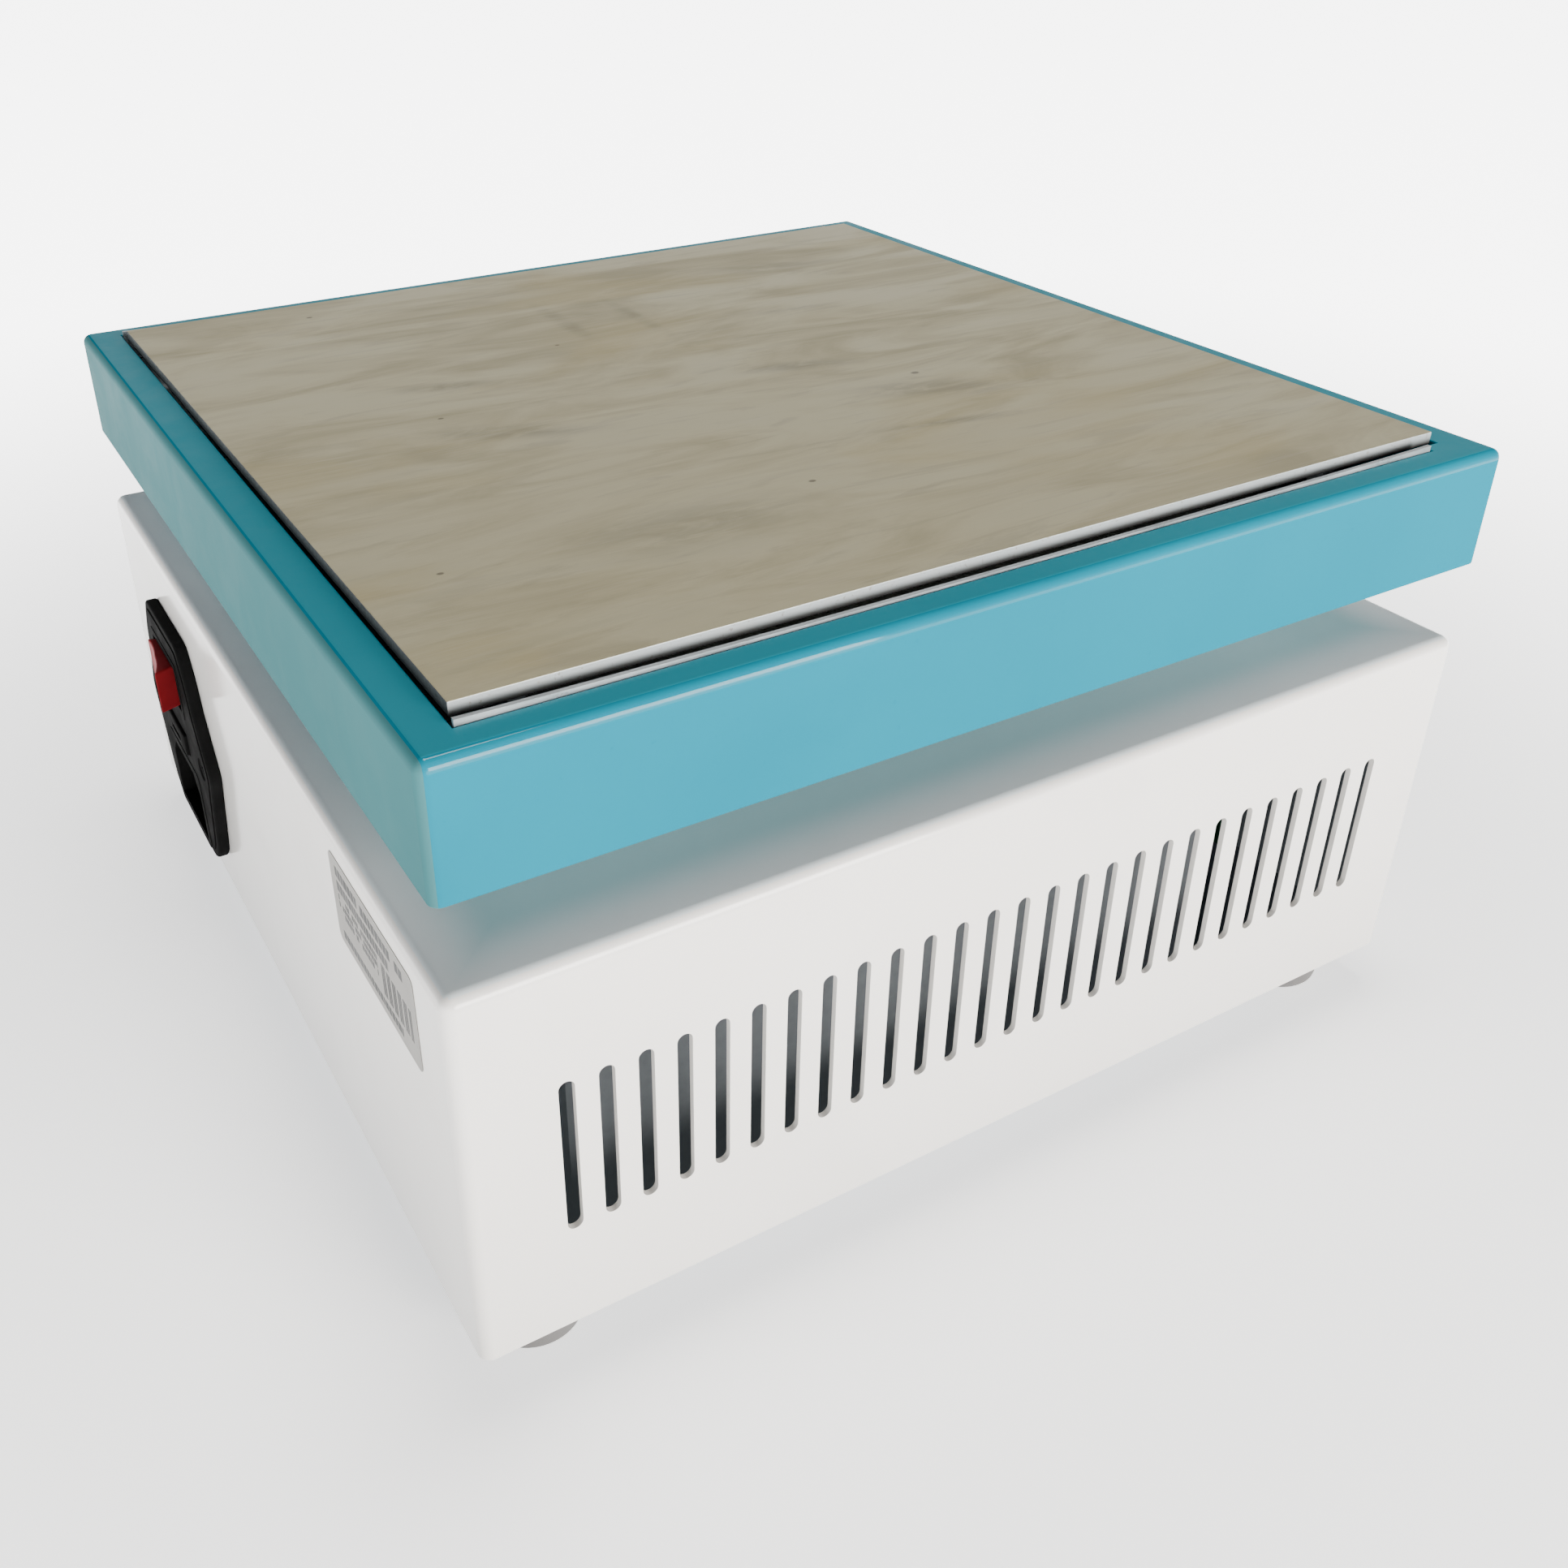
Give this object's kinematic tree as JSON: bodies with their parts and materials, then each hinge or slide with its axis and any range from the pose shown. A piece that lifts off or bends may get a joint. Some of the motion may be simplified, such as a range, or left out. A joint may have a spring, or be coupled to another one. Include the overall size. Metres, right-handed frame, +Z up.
{
  "type": "orbital shaker",
  "caption": "Benchtop orbital shaker: square heated metal platform in a teal frame, circling on cranks above a white vented case with a mains inlet.",
  "frame": {"origin": "centre of the whole object's footprint, on the floor that its feet stand on", "axes": "+Z up through the platform; -Y the front with the controls; +Y the rear with the mains inlet and the rating label; X across"},
  "size_m": [0.2252, 0.2466, 0.13],
  "materials": {
    "white_coat": "fine satin powder coat, off-white",
    "teal_coat": "satin powder coat, teal",
    "plate_aluminium": "bare brushed aluminium, stained and scuffed",
    "bright_sheet": "bright sheet, cut edges",
    "steel": "turned and ground steel",
    "galvanised": "zinc-coated sheet",
    "cast_aluminium": "machined cast aluminium",
    "brass": "plain brass",
    "foot_rubber": "matt grey rubber",
    "belt_rubber": "black drive belt rubber",
    "black_plastic": "black moulded plastic",
    "red_plastic": "translucent red plastic",
    "label": "printed grey film",
    "fascia": "grey moulded fascia",
    "display": "dark tinted window",
    "board": "green circuit board",
    "fibre": "pressed mineral fibre",
    "silicone": "heater silicone",
    "key_rubber": "pale silicone keys"
  },
  "bodies": {
    "case": {"case_cover": "white_coat", "bottom_plate": "galvanised", "foot_1": "foot_rubber", "foot_2": "foot_rubber", "foot_3": "foot_rubber", "foot_4": "foot_rubber", "foot_screw_1": "steel", "foot_screw_2": "steel", "foot_screw_3": "steel", "foot_screw_4": "steel", "inlet_housing": "black_plastic", "inlet_pin_l": "brass", "inlet_pin_n": "brass", "inlet_pin_e": "brass", "rating_label": "label", "fascia": "fascia", "display_window": "display", "encoder": "steel", "control_board": "board", "chassis": "galvanised", "main_housing": "cast_aluminium", "main_bearing_low": "steel", "main_bearing_top": "steel", "idler_housing_1": "cast_aluminium", "idler_housing_2": "cast_aluminium", "idler_housing_3": "cast_aluminium", "motor": "steel", "belt": "belt_rubber", "power_supply": "galvanised"},
    "main_rotor": {"main_crank": "steel", "counterweight": "brass", "main_pulley": "cast_aluminium"},
    "idler_1": {"idler_crank_1": "steel"},
    "idler_2": {"idler_crank_2": "steel"},
    "idler_3": {"idler_crank_3": "steel"},
    "motor_rotor": {"motor_pulley": "cast_aluminium"},
    "platform": {"platform_carrier": "cast_aluminium", "pin_bearing_main": "steel", "pin_bearing_1": "steel", "pin_bearing_2": "steel", "pin_bearing_3": "steel", "platform_frame": "teal_coat", "reflector_pan": "bright_sheet", "insulation_board": "fibre", "heater_mat": "silicone", "standoff_1": "steel", "standoff_2": "steel", "standoff_3": "steel", "standoff_4": "steel", "temperature_probe": "steel", "top_plate": "plate_aluminium"},
    "power_rocker": {"rocker": "red_plastic"},
    "fuse_tray": {"fuse_drawer": "black_plastic"},
    "set_knob": {"knob": "black_plastic"},
    "key_start": {"button_start": "key_rubber"},
    "key_speed": {"button_speed": "key_rubber"},
    "key_time": {"button_time": "key_rubber"},
    "key_heat": {"button_heat": "key_rubber"}
  },
  "joints": [
    {"name": "orbit", "type": "hinge", "parent": "case", "child": "main_rotor", "pos_m": [-0.00309, 0.00621, 0.06], "axis": [0, 0, 1], "continuous": true},
    {"name": "platform_turn", "type": "hinge", "parent": "main_rotor", "child": "platform", "pos_m": [0.00124, 0.00372, 0.11], "axis": [0, 0, 1], "continuous": true},
    {"name": "idler_spin_1", "type": "hinge", "parent": "case", "child": "idler_1", "pos_m": [-0.00309, 0.07221, 0.08], "axis": [0, 0, 1], "continuous": true},
    {"name": "idler_spin_2", "type": "hinge", "parent": "case", "child": "idler_2", "pos_m": [-0.06025, -0.02679, 0.08], "axis": [0, 0, 1], "continuous": true},
    {"name": "idler_spin_3", "type": "hinge", "parent": "case", "child": "idler_3", "pos_m": [0.05407, -0.02679, 0.08], "axis": [0, 0, 1], "continuous": true},
    {"name": "motor_spin", "type": "hinge", "parent": "case", "child": "motor_rotor", "pos_m": [-0.05309, 0.04421, 0.04], "axis": [0, 0, 1], "continuous": true},
    {"name": "rocker_tilt", "type": "hinge", "parent": "case", "child": "power_rocker", "pos_m": [0.05691, 0.11421, 0.063], "axis": [0, 0, 1], "range_deg": [0, 12]},
    {"name": "fuse_slide", "type": "slide", "parent": "case", "child": "fuse_tray", "axis": [0, 1, 0], "range_m": [0, 0.012]},
    {"name": "knob_turn", "type": "hinge", "parent": "case", "child": "set_knob", "pos_m": [0.04491, -0.11379, 0.05], "axis": [0, -1, 0], "continuous": true},
    {"name": "press_start", "type": "slide", "parent": "case", "child": "key_start", "axis": [0, 1, 0], "range_m": [0, 0.0015], "stiffness_N_per_m": 300},
    {"name": "press_speed", "type": "slide", "parent": "case", "child": "key_speed", "axis": [0, 1, 0], "range_m": [0, 0.0015], "stiffness_N_per_m": 300},
    {"name": "press_time", "type": "slide", "parent": "case", "child": "key_time", "axis": [0, 1, 0], "range_m": [0, 0.0015], "stiffness_N_per_m": 300},
    {"name": "press_heat", "type": "slide", "parent": "case", "child": "key_heat", "axis": [0, 1, 0], "range_m": [0, 0.0015], "stiffness_N_per_m": 300}
  ],
  "couplings": [
    {"joint": "platform_turn", "follows": "orbit", "ratio": -1},
    {"joint": "idler_spin_1", "follows": "orbit", "ratio": 1},
    {"joint": "idler_spin_2", "follows": "orbit", "ratio": 1},
    {"joint": "idler_spin_3", "follows": "orbit", "ratio": 1},
    {"joint": "motor_spin", "follows": "orbit", "ratio": 3.25}
  ]
}
